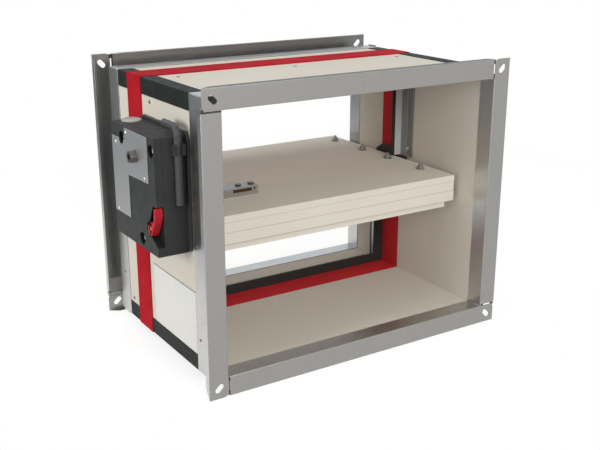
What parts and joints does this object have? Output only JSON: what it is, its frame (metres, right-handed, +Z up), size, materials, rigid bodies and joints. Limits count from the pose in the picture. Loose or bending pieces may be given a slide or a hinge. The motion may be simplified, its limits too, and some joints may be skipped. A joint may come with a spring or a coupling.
{
  "type": "rectangular fire damper",
  "caption": "Rectangular fire damper: board casing with folded flanges, tilting blade with seals, red expanding strips, and a side release box with lever and hex key.",
  "frame": {"origin": "centre of the duct opening on the front flange's face", "axes": "+X to the right along the front flange's width, +Y from the front flange towards the rear flange, +Z up"},
  "size_m": [0.605, 0.4475, 0.46],
  "materials": {
    "board": "matt mineral board",
    "blade_board": "matt mineral board",
    "black_profile": "black coated steel",
    "galvanised": "galvanised sheet",
    "stop_steel": "galvanised sheet",
    "red_strip": "matt red intumescent strip",
    "zinc_screw": "zinc plated",
    "black_seal": "matt black",
    "black_plastic": "matt black",
    "label": "glossy blank label",
    "grey_plastic": "matt dark grey",
    "bare_aluminium": "bare aluminium",
    "light_plastic": "light grey",
    "key_steel": "dark steel",
    "red_plastic": "red, slightly glossy",
    "bronze_block": "dark bronze"
  },
  "bodies": {
    "casing": {"board_top": "board", "board_bottom": "board", "board_left": "board", "board_right": "board", "corner_profile_top_left": "black_profile", "corner_profile_top_right": "black_profile", "corner_profile_bottom_left": "black_profile", "corner_profile_bottom_right": "black_profile", "outer_strip": "red_strip", "inner_strip": "red_strip", "front_flange_top": "galvanised", "front_flange_left": "galvanised", "front_flange_bottom": "galvanised", "front_flange_right": "galvanised", "rear_flange_top": "galvanised", "rear_flange_left": "galvanised", "rear_flange_bottom": "galvanised", "rear_flange_right": "galvanised", "flange_screws": "zinc_screw", "board_screws": "zinc_screw", "stop_upper_left": "stop_steel", "stop_upper_top": "stop_steel", "stop_upper_right": "stop_steel", "stop_lower_left": "stop_steel", "stop_lower_bottom": "stop_steel", "stop_lower_right": "stop_steel", "stop_screws": "zinc_screw", "gasket_upper": "black_seal", "gasket_lower": "black_seal", "bearing_left": "black_plastic", "bearing_right": "black_plastic", "axle_cover": "black_plastic", "product_label": "label", "box_base": "black_plastic", "box_housing": "grey_plastic", "box_plate": "bare_aluminium", "plate_rivets": "bare_aluminium", "box_screws": "zinc_screw", "entry_cap": "light_plastic", "hex_key": "key_steel"},
    "blade": {"blade_board_top": "blade_board", "blade_board_middle": "blade_board", "blade_board_lower": "blade_board", "blade_board_small": "blade_board", "blade_studs": "zinc_screw", "blade_washers": "zinc_screw", "blade_nuts": "zinc_screw", "blade_bracket": "stop_steel", "bracket_bolts": "zinc_screw", "bracket_block": "bronze_block", "axle_pin_left": "zinc_screw", "axle_pin_right": "zinc_screw"},
    "spindle": {"spindle": "key_steel"},
    "release_lever": {"release_lever": "red_plastic"}
  },
  "joints": [
    {"name": "blade_turn", "type": "hinge", "parent": "casing", "child": "blade", "pos_m": [0, 0.261, 0], "axis": [1, 0, 0], "range_deg": [0, 90]},
    {"name": "spindle_turn", "type": "hinge", "parent": "casing", "child": "spindle", "pos_m": [-0.3, 0.148, 0.113], "axis": [1, 0, 0], "range_deg": [0, 90]},
    {"name": "lever_swing", "type": "hinge", "parent": "casing", "child": "release_lever", "pos_m": [-0.31, 0.0866, 0.0455], "axis": [1, 0, 0], "range_deg": [-12, 0], "stiffness_Nm_per_rad": 0.5}
  ],
  "couplings": [
    {"joint": "spindle_turn", "follows": "blade_turn", "ratio": 1}
  ]
}
